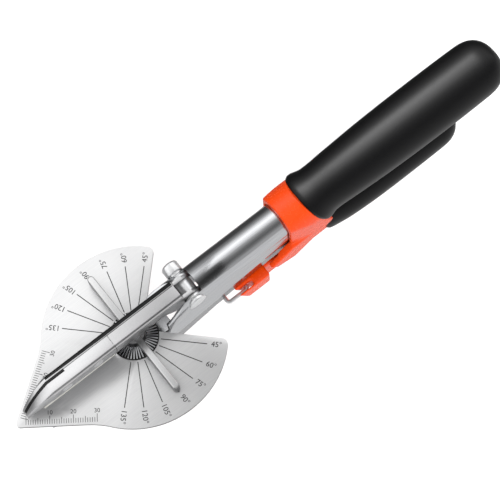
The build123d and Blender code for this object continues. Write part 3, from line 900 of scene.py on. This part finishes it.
@dataclass
class UpperJaw:
    """The folded lever with its cover, the blade between them and what holds it."""

    edge_round: float = 0.22
    blade_round: float = 0.04
    trim_radius: float = 1.4
    trim_low: float = -20.0
    trim_sweep: float = 110.0
    trim_front_sweep: float = 100.0
    trim_front_onto_top: float = 0.2
    trim_steps: int = 12
    trim_inset: float = 0.1
    trim_thick: float = 0.3
    trim_onto_top: float = 0.6
    trim_taper: float = -12.0
    trim_proud: float = 0.05
    trim_rear: float = 23.8
    trim_front: float = -41.5
    seam_front: float = -10.5
    seam_y: float = 2.0
    seam_width: float = 0.3
    seam_depth: float = 0.1
    seam_proud: float = 0.02
    slot_start: float = -33.0
    slot_turn: float = -42.0
    slot_end: float = -56.0
    slot_middle: float = 1.6
    slot_drift: float = 0.106
    slot_half: float = 0.66
    slot_depth: float = 0.5
    slot_probe: float = 0.3
    slot_steps: int = 14

    def build(self) -> None:
        """Builds and dresses the jaw's pieces."""
        dress("jaw_channel", softened("blade_lever", self.edge_round), "lever", "satin_steel",
              SATIN_STEEL, "blade_lever")
        dress("jaw_side_cover", softened("jaw_cover", self.edge_round), "lever", "satin_steel",
              SATIN_STEEL, "jaw_cover")
        dress("cutting_blade", softened("blade", self.blade_round, 1), "lever", "blade_steel",
              GROUND_BLADE, "blade")
        self.painted_dark_bend()
        self.rear_seam()
        self.paint_slot_shade()
        for node, finish in (("blade_clamps", ZINC), ("clamp_screws", ZINC), ("pivot_bushing", ZINC),
                             ("spring_seat", ZINC), ("return_spring", SPRING_WIRE),
                             ("lower_handle_pins", ZINC)):
            repaint(node, finish)

    def painted_dark_bend(self) -> None:
        """Lays a black strip along the jaw's left bend, narrower towards the nose: a painted dark
        reflection on the bend.
        """
        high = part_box("blade_lever")[1]
        outer_radius = self.trim_radius + self.trim_proud
        y = high.y / MM - self.trim_radius
        z = high.z / MM - self.trim_radius
        rings = []
        for x, sweep, onto_top in (
                (self.trim_front, self.trim_front_sweep, self.trim_front_onto_top),
                (self.trim_taper, self.trim_sweep, self.trim_onto_top),
                (self.trim_rear, self.trim_sweep, self.trim_onto_top)):
            arc = [radians(self.trim_low + sweep * i / self.trim_steps) for i in range(self.trim_steps + 1)]
            outer = [(y + outer_radius * cos(a), z + outer_radius * sin(a)) for a in arc]
            outer.append((y - onto_top, z + outer_radius * sin(arc[-1])))
            inner = []
            for py, pz in reversed(outer):
                inward = copysign(self.trim_inset, py - y + 2 * self.trim_inset)
                inner.append((py - inward, pz - self.trim_thick))
            rings.append([Vector((x, py, pz)) * MM for py, pz in outer + inner])
        # The black strip is a painted dark reflection on the jaw's left bend.
        dress("jaw_painted_reflection_strip", ring_skin(rings), "lever", "satin_steel", BLACK_OXIDE_AND_SHADE)

    def rear_seam(self) -> None:
        """Draws the scribed line that carries the seam on to the jaw's rear."""
        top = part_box("blade_lever")[1].z / MM
        ends = [(x, self.seam_y, top) for x in (self.seam_front, self.trim_rear)]
        dress("jaw_scribed_seam", inlay(ends, self.seam_width / 2, self.seam_depth, self.seam_proud),
              "lever", "satin_steel", ETCHED_INK)

    def paint_slot_shade(self) -> None:
        """Fills the slot in the nose with painted shade: a black strip from beside the seam down to the
        tip.
        """
        skin = surface_of("jaw_cover")
        stations = [self.slot_start, (self.slot_start + self.slot_turn) / 2]
        bend = self.slot_end - self.slot_turn
        stations += [self.slot_turn + bend * i / self.slot_steps for i in range(self.slot_steps + 1)]
        places = []
        for x in stations:
            y = self.slot_middle - self.slot_drift * max(self.slot_turn - x, 0)
            places.append((x, y, height_over(skin, x, y - self.slot_half - self.slot_probe)))
        # The black strip is painted shade standing in for the dark inside of the open slot.
        dress("slot_painted_shade", inlay(places, self.slot_half, self.slot_depth, self.trim_proud),
              "lever", "satin_steel", BLACK_OXIDE_AND_SHADE)


@dataclass
class Arm:
    """The bent-sheet arm, the pivot and what the lower jaw holds."""

    edge_round: float = 0.28
    bolt_round: float = 0.25
    turned_round: float = 0.3

    def build(self) -> None:
        """Builds and dresses the arm's pieces."""
        dress("arm_sheet", softened("frame_arm", self.edge_round), "frame", "bright_steel",
              PLATED_TUBE, "frame_arm")
        dress("pivot_bolt_turned", softened("pivot_bolt", self.bolt_round), "frame", "bright_steel",
              ZINC, "pivot_bolt")
        dress("pivot_cap_nut", softened("pivot_nut", self.turned_round), "frame", "fastener_steel",
              ZINC, "pivot_nut")
        dress("pivot_spacer_rings", softened("pivot_spacers", self.turned_round), "frame",
              "fastener_steel", ZINC, "pivot_spacers")
        repaint("jaw_block", CAST_ALUMINIUM)
        for node in ("jaw_block_pins", "spring_cup", "upper_handle_pins"):
            repaint(node, ZINC)


@dataclass
class OrangeCores:
    """The two orange moulded cores that carry the grips."""

    cell: float = 0.45
    rounds: int = 14

    def build(self) -> None:
        """Builds and dresses both cores."""
        for node, body in (("upper_handle_core", "frame"), ("lower_handle_core", "lever")):
            dress(node + "_moulding", moulded(node, self.cell, self.rounds), body, "orange_plastic",
                  ORANGE_ABS, node)


@dataclass
class Fence:
    """The swinging fence and the stack on its screw."""

    edge_round: float = 0.35
    screw_round: float = 0.15

    def build(self) -> None:
        """Builds and dresses the fence's pieces."""
        dress("fence_rule", softened("fence_bar", self.edge_round), "fence", "satin_steel",
              FENCE_STEEL, "fence_bar")
        dress("fence_clamp_screw", softened("fence_screw", self.screw_round, 2), "fence",
              "fastener_steel", ZINC, "fence_screw")
        for node, finish in (("fence_washer", ZINC), ("spring_washer", SPRING_WIRE), ("fence_nut", ZINC),
                             ("detent_balls", ZINC), ("detent_springs", SPRING_WIRE)):
            repaint(node, finish)


@dataclass
class Latch:
    """The wire bail that locks the handles shut."""

    crease: float = 40.0

    def build(self) -> None:
        """Builds and dresses the bail."""
        dress("latch_wire", smooth(merged_copy("latch_bail"), self.crease), "latch", "bright_steel",
              ZINC, "latch_bail")


# ---- studio ----

@dataclass
class Studio:
    """A pale floor, a banded sky for the plated steel to mirror, the lights and the camera.

    The camera's and the strip light's places are in metres, the floor's gap and the card's sizes
    in millimetres. Each band is an angle from straight up, in degrees towards the tool's left, and
    a brightness.
    """

    camera_place: tuple[float, float, float] = (-0.0597, -0.1904, 0.7632)
    camera_target: tuple[float, float, float] = (0.0620, -0.0009, 0.0220)
    camera_roll: float = -5.93
    lens: float = 129.6
    floor_gap: float = 2.0
    floor_half: float = 3.0
    floor_colour: str = "#FAFAFA"
    bands: tuple[tuple[float, float], ...] = (
        (-180, 0.7), (-163, 0.74), (-140, 0.85), (-110, 0.9), (-95, 0.85), (-82, 0.75), (-70, 0.6),
        (-59, 0.42), (-48, 0.24), (-38, 0.17), (-28, 0.22), (-17, 0.36), (-7, 0.55), (3, 1.05),
        (13, 1.5), (24, 1.9), (34, 1.65), (46, 1.0), (58, 0.5), (71, 0.25), (86, 0.1), (104, 0.06),
        (128, 0.08), (150, 0.4), (179, 0.7))
    sky_strength: float = 2.0
    overhead_power: float = 2.3
    overhead_spread: float = 60.0
    overhead_lean: tuple[float, float] = (28.0, -8.0)
    strip_size: tuple[float, float] = (0.2, 0.05)
    strip_place: tuple[float, float, float] = (0.225, 0.115, 0.30)
    strip_target: tuple[float, float, float] = (0.225, 0.0, 0.03)
    strip_level: float = 30.0
    card_height: float = 76.0
    card_way: tuple[float, float, float] = (0.8, -0.6, 0.0)
    card_from: float = -26.0
    card_to: float = 45.0
    card_depth: float = 0.8
    card_outline: tuple[tuple[float, float], ...] = (
        (-80, -100), (46, -100), (46, -2), (36, -2), (44, 30), (44, 95), (-80, 95))

    def build(self, lowest: float, grips: Sequence[bpy.types.Object]) -> None:
        """Builds the floor, the lights and the camera.

        Args:
            lowest: The lowest height that a moving piece reaches, in metres.
            grips: The black sleeves, which have a light of their own.
        """
        self.floor(lowest - self.floor_gap * MM)
        self.sky()
        self.overhead()
        self.strip_light(grips)
        self.shade_card()
        self.camera()
        bpy.context.scene.view_settings.view_transform = "Standard"

    def floor(self, height: float) -> None:
        """Lays a wide pale floor, which the steel does not mirror.

        Args:
            height: The floor's height in metres.
        """
        work = bmesh.new()
        bmesh.ops.create_grid(work, x_segments=1, y_segments=1, size=self.floor_half)
        mesh = bpy.data.meshes.new("floor")
        work.to_mesh(mesh)
        work.free()
        mesh.transform(Matrix.Translation((0, 0, height)))
        floor = new_object("floor", mesh)
        pale = bpy.data.materials.new("pale paper")
        pale.use_nodes = True
        shader = pale.node_tree.nodes["Principled BSDF"]
        shader.inputs["Base Color"].default_value = linear(self.floor_colour)
        shader.inputs["Roughness"].default_value = 0.9
        shader.inputs["Specular IOR Level"].default_value = 0.1
        mesh.materials.append(pale)
        floor.visible_glossy = False

    def sky(self) -> None:
        """Bands of light and dark round the arm's axis, by the angle from straight up."""
        world = bpy.data.worlds.new("studio")
        bpy.context.scene.world = world
        world.use_nodes = True
        tree = world.node_tree
        back = tree.nodes["Background"]
        place = add(tree, "ShaderNodeTexCoord")
        parts = add(tree, "ShaderNodeSeparateXYZ", {0: place.outputs["Generated"]})
        angle = add(tree, "ShaderNodeMath", {0: parts.outputs["Y"], 1: parts.outputs["Z"]},
                    operation="ARCTAN2")
        share = add(tree, "ShaderNodeMapRange", {
            "Value": angle.outputs[0], "From Min": -pi, "From Max": pi})
        ramp = add(tree, "ShaderNodeValToRGB", {"Fac": share.outputs["Result"]})
        elements = ramp.color_ramp.elements
        while len(elements) < len(self.bands):
            elements.new(0.5)
        for element, (turn, level) in zip(elements, self.bands):
            grey = level / self.sky_strength
            element.position = (turn + 180) / 360
            element.color = (grey, grey, grey, 1.0)
        tree.links.new(ramp.outputs["Color"], back.inputs["Color"])
        back.inputs["Strength"].default_value = self.sky_strength

    def overhead(self) -> None:
        """Hangs a wide soft light that fills the floor and the plastics but makes no glint."""
        light = bpy.data.lights.new("overhead", "SUN")
        light.energy = self.overhead_power
        light.angle = radians(self.overhead_spread)
        lamp = bpy.data.objects.new("overhead", light)
        lamp.rotation_euler = (radians(self.overhead_lean[0]), radians(self.overhead_lean[1]), 0)
        lamp.visible_glossy = False
        bpy.context.scene.collection.objects.link(lamp)

    def strip_light(self, grips: Sequence[bpy.types.Object]) -> None:
        """Hangs a strip light along the grips, for the long soft highlight.

        Args:
            grips: The pieces that it lights, and no others.
        """
        light = bpy.data.lights.new("strip_light", "AREA")
        light.shape = "RECTANGLE"
        light.size, light.size_y = self.strip_size
        light.energy = self.strip_level * pi * light.size * light.size_y
        lamp = bpy.data.objects.new("strip_light", light)
        lamp.visible_diffuse = False
        lit = bpy.data.collections.new("lit_by_strip")
        for grip in grips:
            lit.objects.link(grip)
        lamp.light_linking.receiver_collection = lit
        bpy.context.scene.collection.objects.link(lamp)
        way = Vector(self.strip_target) - Vector(self.strip_place)
        turn = Matrix.Rotation(atan2(way.y, -way.z), 4, "X")
        lamp.matrix_world = Matrix.Translation(self.strip_place) @ turn

    def shade_card(self) -> None:
        """Hangs a graded dark card that only reflections see, for the plate's falling tone."""
        work = bmesh.new()
        corners = [Vector((x, y, self.card_height)) * MM for x, y in self.card_outline]
        work.faces.new([work.verts.new(corner) for corner in corners])
        mesh = bpy.data.meshes.new("shade_card")
        work.to_mesh(mesh)
        work.free()
        card = new_object("shade_card", mesh)
        paper = bpy.data.materials.new("graded black card")
        paper.use_nodes = True
        tree = paper.node_tree
        tree.nodes.remove(tree.nodes["Principled BSDF"])
        place = add(tree, "ShaderNodeTexCoord")
        along = add(tree, "ShaderNodeVectorMath", {0: place.outputs["Object"], 1: self.card_way},
                    operation="DOT_PRODUCT")
        share = add(tree, "ShaderNodeMapRange", {
            "Value": along.outputs["Value"], "From Min": self.card_from * MM,
            "From Max": self.card_to * MM, "To Min": 0.0, "To Max": self.card_depth})
        clear = add(tree, "ShaderNodeBsdfTransparent")
        dark = add(tree, "ShaderNodeEmission", {"Color": (0, 0, 0, 1), "Strength": 0.0})
        mixed = add(tree, "ShaderNodeMixShader", {
            0: share.outputs["Result"], 1: clear.outputs[0], 2: dark.outputs[0]})
        tree.links.new(mixed.outputs[0], tree.nodes["Material Output"].inputs["Surface"])
        mesh.materials.append(paper)
        card.visible_camera = False
        card.visible_diffuse = False
        card.visible_shadow = False
        card.visible_transmission = False

    def camera(self) -> None:
        """Sets the camera high over the tip side, looking down across the plate."""
        data = bpy.data.cameras.new("camera")
        data.lens = self.lens
        data.sensor_width = 36.0
        data.clip_start = 0.01
        camera = bpy.data.objects.new("camera", data)
        bpy.context.scene.collection.objects.link(camera)
        way = Vector(self.camera_target) - Vector(self.camera_place)
        turn = way.to_track_quat("-Z", "Y") @ Quaternion((0, 0, 1), radians(self.camera_roll))
        camera.matrix_world = Matrix.Translation(self.camera_place) @ turn.to_matrix().to_4x4()
        bpy.context.scene.camera = camera


def lowest_reach(joint_name: str, node: str) -> float:
    """Finds how low a node swings at its hinge's upper limit.

    Args:
        joint_name: The hinge, whose axis lies along Y.
        node: A CAD node on the hinge's child body.

    Returns:
        The lowest height in metres.
    """
    joint = next(j for j in frame["joints"] if j["name"] == joint_name)
    pivot = Vector(joint["pos_m"])
    turn = Matrix.Rotation(radians(joint["range_deg"][1]), 3, Vector(joint["axis"]))
    low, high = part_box(node)
    corners = [Vector((x, 0, z)) for x in (low.x, high.x) for z in (low.z, high.z)]
    return min((turn @ (corner - pivot) + pivot).z for corner in corners)


def main() -> None:
    """Builds the tool, piece by piece, and the studio round it."""
    logging.basicConfig(level=logging.INFO, format="%(name)s %(message)s")
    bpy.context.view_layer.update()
    Protractor().build()
    Arm().build()
    UpperJaw().build()
    Fence().build()
    Latch().build()
    OrangeCores().build()
    grips = (UPPER_GRIP.build(), LOWER_GRIP.build())
    Studio().build(lowest_reach("main_pivot", "lower_grip"), grips)


if __name__ == "__main__":
    main()
